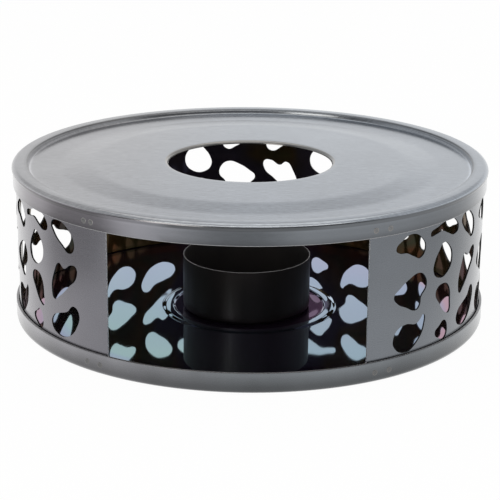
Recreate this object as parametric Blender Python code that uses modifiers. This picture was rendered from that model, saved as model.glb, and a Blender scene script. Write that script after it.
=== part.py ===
# Teapot warmer: a drum of pressed stainless steel with a loose tea light cup.
# Four pressings and two sets of spot welds. Metres, +Z up, origin at the bottom centre.
# The open window of the drum faces -Y. Azimuths run from -Y towards +X, seen from outside left to right.

import math

import bmesh
import bpy
from mathutils import Matrix, Vector

MM = 0.001

# Whole object
RIM_RADIUS = 75.0 * MM
HEIGHT = 50.0 * MM
TURN_STEPS = 72

# Deck plate: collar, plateau, sunken ring, bead and skirt
DECK_SHEET = 0.4 * MM
HOLE_CLEARANCE = 5.5 * MM
COLLAR_ROUND = 0.7 * MM
PLATEAU_DEPTH = 1.0 * MM
PLATEAU_RADIUS = 50.0 * MM
SLOPE_WIDTH = 9.5 * MM
RING_DEPTH = 1.55 * MM
BEAD_WIDTH = 5.6 * MM
BEAD_FOOT_ROUND = 0.5 * MM
BEAD_INNER_ROUND = 0.8 * MM
BEAD_OUTER_ROUND = 1.4 * MM
LEDGE = 0.3 * MM
LEDGE_DROP = 0.6 * MM
DECK_SKIRT_DEPTH = 6.5 * MM

# Side wall: one open band that stands inside both skirts
WALL_SHEET = 0.5 * MM
WALL_CLEARANCE = 0.35 * MM
WINDOW_WIDTH = 78.0 * MM
SEAT_GAP = 0.3 * MM

# Base tray: floor, locating ring, rounded edge and skirt
BASE_SHEET = 0.45 * MM
BASE_CLEARANCE = 0.55 * MM
BASE_SKIRT_HEIGHT = 6.3 * MM
BASE_ROUND = 1.5 * MM
RING_GAP = 3.4 * MM
RING_WIDTH = 4.5 * MM
RING_HEIGHT = 0.33 * MM
RING_INNER_FLANK = 1.1 * MM
RING_OUTER_FLANK = 1.8 * MM
FLANK_STEPS = 2

# Tea light cup, standing a little off the middle as in the photo
CUP_PLACE = (-0.85 * MM, -0.3 * MM)
CUP_RADIUS = 20.5 * MM
CUP_HEIGHT = 17.35 * MM
CUP_SHEET = 0.45 * MM
CUP_ROUND = 1.2 * MM
CUP_STEPS = 48

# Spot welds: distances along the band from the window's edges, and one pair at the middle of the back
WELD_RADIUS = 0.9 * MM
DECK_WELDS_RIGHT = (1.4 * MM, 6.2 * MM)
DECK_WELDS_LEFT = (7.5 * MM, 4.8 * MM)
BASE_WELDS_RIGHT = (2.3 * MM, 7.2 * MM)
BASE_WELDS_LEFT = (7.2 * MM, 2.3 * MM)
BACK_PAIR_SPACING = 4.6 * MM
WELD_SIDES = 12

# Pebble perforation. Each outline is (along the band, height) in mm, as drawn on one
# repeat of the punched strip, and the repeats fill the band between two plain panels.
PANEL_AFTER_WINDOW = 8.9 * MM
PANEL_BEFORE_WINDOW = 11.1 * MM
REPEAT_WIDTH = 43.5 * MM
REPEAT_PITCH = 46.2 * MM
REPEAT_CREEP = 2.0 * MM
PATTERN_LOW = 6.6 * MM
PATTERN_HIGH = 43.4 * MM
BASE_MARGIN = 0.3 * MM
DECK_MARGIN = 0.1 * MM
PUNCH_DEPTH = 4.0 * MM
OUTLINE_RESOLUTION = 2
PEBBLES = (
    ((0.2, 38.6), (2.6, 41.1), (6.4, 42.4), (10.4, 40.4), (12.0, 37.4), (9.9, 34.6), (7.0, 35.6),
     (4.4, 36.9), (1.2, 37.5)),
    ((0.0, 24.4), (2.2, 26.7), (5.6, 28.9), (9.6, 30.1), (12.2, 28.6), (13.0, 25.4), (10.8, 22.5),
     (10.4, 20.2), (9.0, 18.9), (4.6, 20.5), (1.4, 22.2)),
    ((0.3, 12.0), (0.5, 9.2), (4.8, 6.6), (9.4, 8.6), (12.6, 13.6), (12.2, 16.9), (10.9, 15.8),
     (9.2, 14.7), (5.0, 15.3), (1.8, 14.3)),
    ((14.0, 40.4), (16.6, 40.2), (19.6, 40.6), (22.6, 39.4), (26.4, 38.1), (28.9, 39.4),
     (27.0, 42.5), (22.8, 43.4), (18.0, 42.5)),
    ((20.4, 36.8), (23.6, 35.6), (25.8, 31.0), (22.8, 26.9), (18.0, 26.7), (16.0, 29.0),
     (16.6, 32.2), (18.6, 35.0)),
    ((17.6, 22.4), (21.4, 24.2), (24.4, 22.6), (25.6, 17.6), (25.2, 14.3), (23.6, 14.4),
     (19.8, 18.0)),
    ((17.9, 9.4), (20.2, 7.2), (23.4, 6.6), (24.5, 9.4), (22.6, 12.4), (20.0, 11.2)),
    ((31.1, 41.6), (34.4, 43.1), (39.2, 41.5), (42.1, 36.6), (40.2, 34.1), (36.2, 35.9),
     (32.4, 38.8)),
    ((30.5, 20.2), (31.6, 18.3), (34.2, 19.6), (39.4, 24.0), (42.6, 27.2), (42.6, 30.4),
     (40.2, 30.6), (37.0, 28.9), (34.6, 30.1), (32.2, 27.2)),
    ((30.0, 10.2), (32.6, 7.8), (38.0, 8.0), (42.6, 12.4), (43.4, 16.6), (41.2, 18.2),
     (38.0, 15.8), (34.0, 14.4), (31.0, 12.9)),
)

# Sizes that follow from the ones above
hole_radius = CUP_RADIUS + HOLE_CLEARANCE
deck_skirt_outer = RIM_RADIUS - LEDGE
deck_skirt_inner = deck_skirt_outer - DECK_SHEET
wall_outer = deck_skirt_inner - WALL_CLEARANCE
wall_inner = wall_outer - WALL_SHEET
base_skirt_inner = wall_outer + BASE_CLEARANCE
base_skirt_outer = base_skirt_inner + BASE_SHEET
deck_skirt_bottom = HEIGHT - DECK_SKIRT_DEPTH
plateau_top = HEIGHT - PLATEAU_DEPTH
ring_top = HEIGHT - RING_DEPTH
ring_inner_radius = CUP_RADIUS + RING_GAP
ring_outer_radius = ring_inner_radius + RING_WIDTH
window_angle = WINDOW_WIDTH / wall_outer
band_angle = math.tau - window_angle


def arc(centre, radius, start, end, steps):
    """Points of an arc in the (radius, height) plane, from start to end in degrees."""
    points = []
    for step in range(steps + 1):
        angle = math.radians(start + (end - start) * step / steps)
        points.append((centre[0] + radius * math.cos(angle), centre[1] + radius * math.sin(angle)))
    return points


def corner_height(centre, radius, at_radius):
    """How far a rounded outer corner of this radius lies from its centre's height at at_radius."""
    overhang = max(at_radius - centre, 0.0)
    return math.sqrt(max(radius ** 2 - overhang ** 2, 0.0))


def azimuth_matrix(azimuth, radius, height):
    """Local X runs along the band, local Y up and local Z outwards."""
    along = Vector((math.cos(azimuth), math.sin(azimuth), 0.0))
    up = Vector((0.0, 0.0, 1.0))
    out = Vector((math.sin(azimuth), -math.cos(azimuth), 0.0))
    matrix = Matrix((along, up, out)).transposed().to_4x4()
    matrix.translation = out * radius + up * height
    return matrix


def material(name, color, roughness, metallic):
    mat = bpy.data.materials.new(name)
    mat.use_nodes = True
    shader = mat.node_tree.nodes["Principled BSDF"]
    shader.inputs["Base Color"].default_value = (*color, 1.0)
    shader.inputs["Roughness"].default_value = roughness
    shader.inputs["Metallic"].default_value = metallic
    return mat


def add_object(name, mesh, collection, mat=None):
    obj = bpy.data.objects.new(name, mesh)
    collection.objects.link(obj)
    if mat is not None:
        mesh.materials.append(mat)
    return obj


def sheet_of_revolution(name, profile, sheet, steps, collection, mat, angle=math.tau):
    """Turn an open profile of the outer face about Z and thicken it inwards."""
    mesh = bpy.data.meshes.new(name)
    edges = [(index, index + 1) for index in range(len(profile) - 1)]
    mesh.from_pydata([(radius, 0.0, height) for radius, height in profile], edges, [])
    obj = add_object(name, mesh, collection, mat)
    screw = obj.modifiers.new("Turn", "SCREW")
    screw.angle = angle
    screw.steps = steps
    screw.render_steps = steps
    screw.use_merge_vertices = True
    screw.merge_threshold = 0.01 * MM
    screw.use_smooth_shade = True
    solidify = obj.modifiers.new("Sheet", "SOLIDIFY")
    solidify.thickness = sheet
    solidify.offset = -1.0
    solidify.use_even_offset = True
    return obj


def deck_profile():
    """The outer face of the deck, from the collar's lower edge out to the skirt's lower edge."""
    collar_centre = (hole_radius + COLLAR_ROUND, plateau_top - COLLAR_ROUND)
    bead_inner = RIM_RADIUS - BEAD_WIDTH
    foot_centre = (bead_inner, ring_top + BEAD_FOOT_ROUND)
    inner_centre = (bead_inner + BEAD_FOOT_ROUND + BEAD_INNER_ROUND, HEIGHT - BEAD_INNER_ROUND)
    outer_centre = (RIM_RADIUS - BEAD_OUTER_ROUND, HEIGHT - BEAD_OUTER_ROUND)
    ledge_top = HEIGHT - BEAD_OUTER_ROUND
    return [
        *arc(collar_centre, COLLAR_ROUND, 180.0, 90.0, 3),
        (PLATEAU_RADIUS, plateau_top),
        (PLATEAU_RADIUS + SLOPE_WIDTH, ring_top),
        *arc(foot_centre, BEAD_FOOT_ROUND, -90.0, -30.0, 1),
        *arc(inner_centre, BEAD_INNER_ROUND, 180.0, 90.0, 2),
        *arc(outer_centre, BEAD_OUTER_ROUND, 90.0, 0.0, 3),
        (deck_skirt_outer, ledge_top - LEDGE_DROP),
        (deck_skirt_outer, deck_skirt_bottom),
    ]


def base_profile():
    """The outer face of the tray, from the skirt's upper edge down and in to the axis."""
    round_centre = (base_skirt_outer - BASE_ROUND, BASE_ROUND)
    rising = []
    falling = []
    for step in range(FLANK_STEPS + 1):
        share = step / FLANK_STEPS
        height = RING_HEIGHT * 0.5 * (1.0 - math.cos(math.pi * share))
        rising.append((ring_outer_radius - RING_OUTER_FLANK * share, height))
        falling.append((ring_inner_radius + RING_INNER_FLANK * share, height))
    return [
        (base_skirt_outer, BASE_SKIRT_HEIGHT),
        *arc(round_centre, BASE_ROUND, 0.0, -90.0, 3),
        *rising,
        *falling[::-1],
        (0.0, 0.0),
    ]


def cup_profile():
    """The outer face of the cup, from its rim down and in to the axis."""
    bottom = BASE_SHEET + SEAT_GAP
    round_centre = (CUP_RADIUS - CUP_ROUND, bottom + CUP_ROUND)
    return [
        (CUP_RADIUS, bottom + CUP_HEIGHT),
        *arc(round_centre, CUP_ROUND, 0.0, -90.0, 3),
        (0.0, bottom),
    ]


def wall_heights():
    """The band stands on the tray's rounded corner and carries the deck under its bead."""
    bead_centre = RIM_RADIUS - BEAD_OUTER_ROUND
    bead_room = corner_height(bead_centre, BEAD_OUTER_ROUND - DECK_SHEET, wall_outer)
    top = HEIGHT - BEAD_OUTER_ROUND + bead_room - SEAT_GAP
    base_centre = base_skirt_outer - BASE_ROUND
    base_room = corner_height(base_centre, BASE_ROUND - BASE_SHEET, wall_outer)
    bottom = BASE_ROUND - base_room + SEAT_GAP
    return top, bottom


def outline_mesh(name, outline, depth):
    """A closed prism over a smooth closed outline, lying in local X and Y."""
    curve = bpy.data.curves.new(name, "CURVE")
    curve.dimensions = "2D"
    curve.fill_mode = "BOTH"
    curve.extrude = depth / 2
    curve.resolution_u = OUTLINE_RESOLUTION
    spline = curve.splines.new("BEZIER")
    spline.bezier_points.add(len(outline) - 1)
    spline.use_cyclic_u = True
    for point, (along, up) in zip(spline.bezier_points, outline):
        point.co = (along, up, 0.0)
        point.handle_left_type = "AUTO"
        point.handle_right_type = "AUTO"
    holder = bpy.data.objects.new(name, curve)
    bpy.context.scene.collection.objects.link(holder)
    evaluated = holder.evaluated_get(bpy.context.evaluated_depsgraph_get())
    mesh = bpy.data.meshes.new_from_object(evaluated)
    bpy.data.objects.remove(holder)
    bpy.data.curves.remove(curve)
    return mesh


def repeat_starts():
    """Distances along the band from the window's centre to the start of each repeat."""
    first = WINDOW_WIDTH / 2 + PANEL_AFTER_WINDOW
    last = band_angle * wall_outer + WINDOW_WIDTH / 2 - PANEL_BEFORE_WINDOW - REPEAT_WIDTH
    gaps = max(round((last - first) / REPEAT_PITCH), 1)
    starts = []
    for index in range(gaps + 1):
        share = index / gaps
        creep = REPEAT_CREEP * math.sin(math.pi * share)
        starts.append(first + (last - first) * share + creep)
    return starts


def add_pebbles(bm):
    """One radial prism for each pebble, stretched in height to fill the space between the skirts."""
    low = BASE_SKIRT_HEIGHT + BASE_MARGIN
    stretch = (deck_skirt_bottom - DECK_MARGIN - low) / (PATTERN_HIGH - PATTERN_LOW)
    for number, pebble in enumerate(PEBBLES):
        centre_along = sum(along for along, up in pebble) / len(pebble) * MM
        outline = []
        for along, up in pebble:
            outline.append((along * MM - centre_along, low + (up * MM - PATTERN_LOW) * stretch))
        mesh = outline_mesh(f"pebble_{number}", outline, PUNCH_DEPTH)
        for start in repeat_starts():
            azimuth = (start + centre_along) / wall_outer
            placed = mesh.copy()
            placed.transform(azimuth_matrix(azimuth, wall_outer, 0.0))
            bm.from_mesh(placed)
            bpy.data.meshes.remove(placed)
        bpy.data.meshes.remove(mesh)


def weld_azimuths(right, left):
    """Welds on the right and left of the window, and one pair at the middle of the back."""
    half_pair = BACK_PAIR_SPACING / 2 / wall_outer
    azimuths = [(WINDOW_WIDTH / 2 + distance) / wall_outer for distance in right]
    azimuths.extend((math.pi - half_pair, math.pi + half_pair))
    azimuths.extend(-(WINDOW_WIDTH / 2 + distance) / wall_outer for distance in left)
    return azimuths


def weld_rows():
    """Node name, azimuths, height and skirt radius of the two rows of welds."""
    deck_height = (deck_skirt_bottom + HEIGHT - BEAD_OUTER_ROUND - LEDGE_DROP) / 2
    return (
        ("deck_spot_weld", weld_azimuths(DECK_WELDS_RIGHT, DECK_WELDS_LEFT), deck_height,
         deck_skirt_inner),
        ("base_spot_weld", weld_azimuths(BASE_WELDS_RIGHT, BASE_WELDS_LEFT), BASE_SKIRT_HEIGHT / 2,
         base_skirt_inner),
    )


def add_discs(bm, azimuths, radius, inner, outer, height):
    """Short radial cylinders at the azimuths, from the inner to the outer radius."""
    for azimuth in azimuths:
        bmesh.ops.create_cone(
            bm, cap_ends=True, segments=WELD_SIDES, radius1=radius, radius2=radius,
            depth=outer - inner, matrix=azimuth_matrix(azimuth, (inner + outer) / 2, height))


def add_wall(collection, cutters, mat):
    top, bottom = wall_heights()
    steps = round(TURN_STEPS * band_angle / math.tau)
    wall = sheet_of_revolution("side_wall", [(wall_outer, top), (wall_outer, bottom)], WALL_SHEET,
                               steps, collection, mat, band_angle)
    wall.rotation_euler.z = window_angle / 2 - math.pi / 2
    bm = bmesh.new()
    add_pebbles(bm)
    weld_hole_radius = WELD_RADIUS + SEAT_GAP
    for name, azimuths, height, skirt_inner in weld_rows():
        add_discs(bm, azimuths, weld_hole_radius, wall_inner - WALL_SHEET, wall_outer + WALL_SHEET,
                  height)
    bmesh.ops.remove_doubles(bm, verts=bm.verts, dist=0.001 * MM)
    bmesh.ops.recalc_face_normals(bm, faces=bm.faces)
    mesh = bpy.data.meshes.new("wall_cutter")
    bm.to_mesh(mesh)
    bm.free()
    cutter = add_object("wall_cutter", mesh, cutters)
    cutter.hide_render = True
    cutter.display_type = "WIRE"
    cut = wall.modifiers.new("Perforation", "BOOLEAN")
    cut.operation = "DIFFERENCE"
    cut.solver = "EXACT"
    cut.object = cutter
    return wall


def add_welds(name, azimuths, height, skirt_inner, collection, mat):
    """Nuggets that sit in the band and end just short of the skirt that hides them."""
    outer = skirt_inner - SEAT_GAP
    mesh = bpy.data.meshes.new(name)
    mesh.materials.append(mat)
    bm = bmesh.new()
    bmesh.ops.create_cone(bm, cap_ends=True, segments=WELD_SIDES, radius1=WELD_RADIUS,
                          radius2=WELD_RADIUS, depth=outer - wall_inner)
    bm.to_mesh(mesh)
    bm.free()
    for number, azimuth in enumerate(azimuths, start=1):
        weld = add_object(f"{name}_{number}", mesh, collection)
        weld.matrix_world = azimuth_matrix(azimuth, (wall_inner + outer) / 2, height)


def main():
    for obj in list(bpy.data.objects):
        bpy.data.objects.remove(obj, do_unlink=True)
    scene = bpy.context.scene
    parts = bpy.data.collections.new("teapot_warmer")
    cutters = bpy.data.collections.new("cutters")
    scene.collection.children.link(parts)
    scene.collection.children.link(cutters)

    deck_steel = material("deck_steel", (0.50, 0.51, 0.53), 0.35, 1.0)
    wall_steel = material("wall_steel", (0.45, 0.46, 0.49), 0.30, 1.0)
    base_steel = material("base_steel", (0.45, 0.46, 0.49), 0.12, 1.0)
    weld_steel = material("weld_steel", (0.40, 0.40, 0.41), 0.40, 1.0)
    cup_black = material("cup_black", (0.012, 0.012, 0.013), 0.35, 0.0)

    sheet_of_revolution("deck_plate", deck_profile(), DECK_SHEET, TURN_STEPS, parts, deck_steel)
    add_wall(parts, cutters, wall_steel)
    sheet_of_revolution("base_tray", base_profile(), BASE_SHEET, TURN_STEPS, parts, base_steel)
    cup = sheet_of_revolution("tealight_cup", cup_profile(), CUP_SHEET, CUP_STEPS, parts, cup_black)
    cup.location = (*CUP_PLACE, 0.0)
    for name, azimuths, height, skirt_inner in weld_rows():
        add_welds(name, azimuths, height, skirt_inner, parts, weld_steel)


main()
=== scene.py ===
# Teapot warmer: the looks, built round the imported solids.
# Metres, +Z up, the open window faces -Y. Azimuths run from -Y towards +X.

import math

import bmesh
import bpy
from mathutils import Matrix, Vector


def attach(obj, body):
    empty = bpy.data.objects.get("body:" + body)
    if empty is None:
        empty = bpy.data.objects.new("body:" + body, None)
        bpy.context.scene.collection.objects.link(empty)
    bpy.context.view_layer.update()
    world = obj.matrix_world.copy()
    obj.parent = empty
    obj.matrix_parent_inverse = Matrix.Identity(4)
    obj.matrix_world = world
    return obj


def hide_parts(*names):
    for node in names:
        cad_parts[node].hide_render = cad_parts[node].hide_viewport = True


MM = 0.001

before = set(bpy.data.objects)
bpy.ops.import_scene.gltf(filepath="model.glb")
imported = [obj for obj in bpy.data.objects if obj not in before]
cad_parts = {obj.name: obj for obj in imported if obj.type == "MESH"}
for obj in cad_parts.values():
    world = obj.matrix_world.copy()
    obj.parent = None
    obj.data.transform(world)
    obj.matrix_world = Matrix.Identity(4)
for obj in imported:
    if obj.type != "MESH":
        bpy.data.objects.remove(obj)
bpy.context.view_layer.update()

# Sizes of the pressings, as in the solids
RIM_RADIUS = 75.0 * MM
HEIGHT = 50.0 * MM
DECK_SHEET = 0.4 * MM
HOLE_RADIUS = 26.0 * MM
PLATEAU_DEPTH = 1.0 * MM
PLATEAU_RADIUS = 50.0 * MM
SLOPE_WIDTH = 9.5 * MM
RING_DEPTH = 1.55 * MM
BEAD_WIDTH = 5.6 * MM
BEAD_FOOT_ROUND = 0.5 * MM
BEAD_INNER_ROUND = 0.8 * MM
BEAD_OUTER_ROUND = 1.4 * MM
LEDGE = 0.3 * MM
LEDGE_DROP = 0.6 * MM
DECK_SKIRT_DEPTH = 6.5 * MM
WALL_SHEET = 0.5 * MM
WALL_CLEARANCE = 0.35 * MM
WINDOW_WIDTH = 78.0 * MM
SEAT_GAP = 0.3 * MM
BASE_SHEET = 0.45 * MM
BASE_CLEARANCE = 0.55 * MM
BASE_SKIRT_HEIGHT = 6.3 * MM
BASE_ROUND = 1.5 * MM
RING_GAP = 3.4 * MM
RING_WIDTH = 4.5 * MM
RING_HEIGHT = 0.33 * MM
RING_INNER_FLANK = 1.1 * MM
RING_OUTER_FLANK = 1.8 * MM
CUP_PLACE = (-0.85 * MM, -0.3 * MM)
CUP_RADIUS = 20.5 * MM
CUP_HEIGHT = 17.35 * MM
CUP_SHEET = 0.45 * MM
CUP_ROUND = 1.2 * MM

# Places of the welds: distances from the window's edges, and between the two at the back
DECK_WELDS_RIGHT = (1.4 * MM, 6.2 * MM)
DECK_WELDS_LEFT = (7.5 * MM, 4.8 * MM)
BASE_WELDS_RIGHT = (2.3 * MM, 7.2 * MM)
BASE_WELDS_LEFT = (7.2 * MM, 2.3 * MM)
BACK_PAIR_SPACING = 4.6 * MM

# How finely the pieces are meshed
TURN_STEPS = 288
CUP_STEPS = 144
ARC_STEPS = 8
FLANK_STEPS = 12
OUTLINE_RESOLUTION = 8
SPAN = 1.5 * MM
SUPPORT = 0.08 * MM
TINY = 0.001 * MM
SHARP_ANGLE = math.radians(40.0)

# What is drawn otherwise than in the solids
COLLAR_ROUND = 0.95 * MM
EDGE_ROUND = 0.1 * MM
DECK_EDGE_ROUND = 0.2 * MM
BAND_SEAT = 0.05 * MM
RIM_INSET = 0.3 * MM
CUP_RIM = 0.28 * MM
CUP_RIM_DEPTH = 0.8 * MM

# How many degrees above the bead's widest line the skirt's finish starts
SKIRT_FINISH_START = 20.0

# The tray floor's warp: its slope, its curve at the window and its twist, and where they start
FLOOR_TILT = 0.003
FLOOR_TILT_START = 50.0 * MM
FLOOR_LIP = 0.43
FLOOR_LIP_START = -30.0 * MM
FLOOR_TWIST = 0.04
FLOOR_TWIST_LINE = 10.0 * MM

# A weld mark's size, and its raised lip as (share of the radius, rise)
MARK_RADIUS = 0.9 * MM
MARK_SIDES = 32
MARK_PROFILE = ((0.0, 0.01 * MM), (0.45, 0.01 * MM), (0.75, 0.06 * MM), (1.0, -0.01 * MM))

# Pebble perforation, as in the solids: (along the band, height) in mm for each outline
PANEL_AFTER_WINDOW = 8.9 * MM
PANEL_BEFORE_WINDOW = 11.1 * MM
REPEAT_WIDTH = 43.5 * MM
REPEAT_PITCH = 46.2 * MM
REPEAT_CREEP = 2.0 * MM
PATTERN_LOW = 6.6 * MM
PATTERN_HIGH = 43.4 * MM
BASE_MARGIN = 0.3 * MM
DECK_MARGIN = 0.1 * MM
PUNCH_DEPTH = 4.0 * MM
PEBBLES = (
    ((0.2, 38.6), (2.6, 41.1), (6.4, 42.4), (10.4, 40.4), (12.0, 37.4), (9.9, 34.6), (7.0, 35.6),
     (4.4, 36.9), (1.2, 37.5)),
    ((0.0, 24.4), (2.2, 26.7), (5.6, 28.9), (9.6, 30.1), (12.2, 28.6), (13.0, 25.4), (10.8, 22.5),
     (10.4, 20.2), (9.0, 18.9), (4.6, 20.5), (1.4, 22.2)),
    ((0.3, 12.0), (0.5, 9.2), (4.8, 6.6), (9.4, 8.6), (12.6, 13.6), (12.2, 16.9), (10.9, 15.8),
     (9.2, 14.7), (5.0, 15.3), (1.8, 14.3)),
    ((14.0, 40.4), (16.6, 40.2), (19.6, 40.6), (22.6, 39.4), (26.4, 38.1), (28.9, 39.4),
     (27.0, 42.5), (22.8, 43.4), (18.0, 42.5)),
    ((20.4, 36.8), (23.6, 35.6), (25.8, 31.0), (22.8, 26.9), (18.0, 26.7), (16.0, 29.0),
     (16.6, 32.2), (18.6, 35.0)),
    ((17.6, 22.4), (21.4, 24.2), (24.4, 22.6), (25.6, 17.6), (25.2, 14.3), (23.6, 14.4),
     (19.8, 18.0)),
    ((17.9, 9.4), (20.2, 7.2), (23.4, 6.6), (24.5, 9.4), (22.6, 12.4), (20.0, 11.2)),
    ((31.1, 41.6), (34.4, 43.1), (39.2, 41.5), (42.1, 36.6), (40.2, 34.1), (36.2, 35.9),
     (32.4, 38.8)),
    ((30.5, 20.2), (31.6, 18.3), (34.2, 19.6), (39.4, 24.0), (42.6, 27.2), (42.6, 30.4),
     (40.2, 30.6), (37.0, 28.9), (34.6, 30.1), (32.2, 27.2)),
    ((30.0, 10.2), (32.6, 7.8), (38.0, 8.0), (42.6, 12.4), (43.4, 16.6), (41.2, 18.2),
     (38.0, 15.8), (34.0, 14.4), (31.0, 12.9)),
)

# How squarely the punched band's round faces look in or out, and how near the window's edges its
# two end faces lie
CURVED_FACING = 0.9
WINDOW_EDGE_REACH = 0.1 * MM

# Camera: where the photograph was taken from, turned 3 degrees from the window's middle
CAMERA_AZIMUTH = math.radians(3.06)
CAMERA_DISTANCE = 490.66 * MM
CAMERA_HEIGHT = 173.76 * MM
CAMERA_YAW = math.radians(3.02)
CAMERA_PITCH = math.radians(17.514)
CAMERA_ROLL = math.radians(0.466)
CAMERA_SENSOR = 36.0
CAMERA_LENS = 114.62
CAMERA_SHIFT = 0.001
CAMERA_CLIP = (0.01, 50.0)

# Lamps, aimed at the origin: (name, place, width, height, power in watts)
LAMP_COLOR = (1.0, 0.93, 0.84)
LAMPS = (
    ("overhead_softbox", (0.0, 0.15, 0.95), 1.0, 1.0, 1.9),
    ("front_softbox", (0.05, -0.8, 0.75), 1.8, 0.28, 1.9),
    ("left_softbox", (-0.53, -0.85, 0.22), 0.48, 0.40, 1.8),
)

# Walls: the directions between which they fade upwards and to the left, and their levels there
WALL_FADE = (0.22, 0.37)
WALL_SIDES = (-0.25, 0.05)
WALL_TOP_LEVEL = 0.66
WALL_LEFT_LEVEL = 0.93

# The dim room round the camera: the directions between which it starts in front and ends above
ROOM_FRONT = (-0.1, -0.6)
ROOM_TOP = (0.38, 0.58)
ROOM_LEVEL = 0.24

# Backdrop: the floor, and how much of it glows white where it is seen
FLOOR_HALF = 30.0
FLOOR_HEIGHT = -0.1 * MM
FLOOR_TONES = ((0.0, (0.93, 0.93, 0.93)), (1.0, (0.95, 0.95, 0.95)))
BACKDROP_SHARE = 0.97

# Painted reflections in the floor's glow that only the steel mirrors: (x, y, inner radius, outer
# radius, level)
# They are round grey and light patches, with no cards built; the lightest glows above white.
FLOOR_PAINTED_REFLECTIONS = (
    (0.0, -260.0 * MM, 30.0 * MM, 125.0 * MM, 0.41),
    (-195.0 * MM, -68.0 * MM, 45.0 * MM, 90.0 * MM, 0.48),
    (205.0 * MM, 0.0, 30.0 * MM, 150.0 * MM, 0.72),
    (165.0 * MM, -170.0 * MM, 50.0 * MM, 100.0 * MM, 0.90),
    (-190.0 * MM, -205.0 * MM, 20.0 * MM, 105.0 * MM, 1.7),
)

# Patterns: most of a noise lies between these two levels
NOISE_LOW = 0.3
NOISE_HIGH = 0.7

# Brushing: scratches per metre along and across the grain, and how strongly they and clouds show
GRAIN_MAP = "grain"
FINE_GRAIN = (400.0, 5200.0, 1.0)
BROAD_GRAIN = (120.0, 1400.0, 1.0)
FINE_SHARE = 0.75
CLOUD_SCALE = 35.0
TONE_RANGE = 0.2
ROUGHNESS_RANGE = 0.05
BRUSH_BUMP = 0.10
BUMP_DISTANCE = 0.01 * MM
COAT_ROUGHNESS = 0.2

# Painted light by side: steel's colour leans to mauve on the left and to blue on the right, over this
# reach in x
# Most left sides are also painted lighter, the tray's almost twice as light, as light falls there.
TOP_LEFT_PAINTED_LIGHT = (1.02, 1.0, 1.01)
SKIRT_LEFT_PAINTED_LIGHT = (1.10, 0.97, 1.06)
BAND_LEFT_PAINTED_LIGHT = (1.13, 1.04, 1.13)
TRAY_LEFT_PAINTED_LIGHT = (1.88, 1.78, 1.90)
COLLAR_LEFT_PAINTED_LIGHT = (1.0, 0.98, 0.97)
RIGHT_PAINTED_LIGHT = (0.94, 1.0, 1.08)
PAINTED_LIGHT_REACH = (-65.0 * MM, 10.0 * MM)

# Painted shade and highlight by height on the skirts and down the collar: (height, factor)
# Deck skirt: darker towards its lower edge, a painted light band, and a painted dark line under the
# bead.
DECK_SKIRT_PAINTED_SHADE = (
    (43.7 * MM, 0.62), (44.6 * MM, 0.80), (45.6 * MM, 0.98), (46.9 * MM, 1.0), (47.7 * MM, 1.12),
    (48.0 * MM, 0.45), (48.7 * MM, 0.40), (49.0 * MM, 0.9))
# Tray skirt: painted contact shade, darker towards the floor.
TRAY_PAINTED_SHADE = (
    (0.0, 0.35), (1.1 * MM, 0.45), (2.2 * MM, 0.52), (4.0 * MM, 0.85), (5.6 * MM, 1.20))
# Collar: painted shade down its round.
COLLAR_PAINTED_SHADE = (
    (48.05 * MM, 0.34), (48.37 * MM, 0.44), (48.72 * MM, 0.62), (48.93 * MM, 0.85), (49.0 * MM, 0.95))

# Painted highlight on the deck's skirt: the least factor by x, lifting its painted dark line and
# lower edge at the front left and to the right: (x, factor)
DECK_SKIRT_PAINTED_HIGHLIGHT = (
    (-75.0 * MM, 0.0), (-45.0 * MM, 0.0), (-36.0 * MM, 0.85), (-28.0 * MM, 1.06), (-22.0 * MM, 1.0),
    (-14.0 * MM, 0.0), (12.0 * MM, 0.0), (25.0 * MM, 0.64), (75.0 * MM, 0.64))

# Painted shade in the rim's inner corner, inside a painted highlight line: (radius, factor)
CORNER_PAINTED_SHADE = (
    (66.0 * MM, 1.0), (68.4 * MM, 1.05), (68.9 * MM, 1.15), (69.15 * MM, 1.50), (69.5 * MM, 1.55),
    (69.65 * MM, 0.85), (69.9 * MM, 0.60), (70.02 * MM, 0.50), (70.12 * MM, 0.37), (70.4 * MM, 0.44),
    (70.55 * MM, 0.78), (71.5 * MM, 1.0))

# The floor's thin film, from the front to the back and the edge: (place, colour)
FLOOR_FILM = (
    (0.0, (0.375, 0.590, 0.615)), (0.15, (0.350, 0.515, 0.640)), (0.3, (0.375, 0.500, 0.635)),
    (0.45, (0.345, 0.440, 0.620)), (0.6, (0.365, 0.410, 0.600)), (0.8, (0.450, 0.365, 0.520)),
    (1.0, (0.560, 0.340, 0.440)))

# How the film's place changes over the reach in y and x and over the edge's radii, its drift, and
# how dark the floor gets over the rim's radii
FILM_REACH = 50.0 * MM
FILM_BACKWARDS = (0.0, 0.45)
FILM_SIDEWAYS = (-0.08, 0.18)
FILM_EDGE = (59.0 * MM, 69.0 * MM)
FILM_EDGE_RISE = 0.92
FILM_DRIFT = 0.08
FILM_RIM = (69.5 * MM, 71.0 * MM)
FILM_RIM_LEVEL = 0.25

# The film inside the locating ring, from left to right: (place, colour)
RING_FILM = (
    (0.0, (0.250, 0.260, 0.380)), (0.25, (0.130, 0.140, 0.180)), (0.8, (0.095, 0.038, 0.125)),
    (1.0, (0.105, 0.028, 0.118)))

# The hidden faces' film over its pattern: (place, colour)
DARK_FILM = (
    (0.36, (0.90, 0.76, 1.05)), (0.50, (0.90, 0.76, 0.82)), (0.60, (1.25, 0.85, 0.42)),
    (0.68, (0.90, 0.88, 0.38)), (0.78, (1.40, 0.80, 0.28)), (0.90, (0.80, 0.76, 0.40)),
    (1.0, (1.20, 0.72, 0.45)))

# It is shifted to violet in the middle, and less and less over this reach in x
DARK_FILM_MIDDLE = -0.14
DARK_FILM_REACH = (20.0 * MM, 50.0 * MM)

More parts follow.
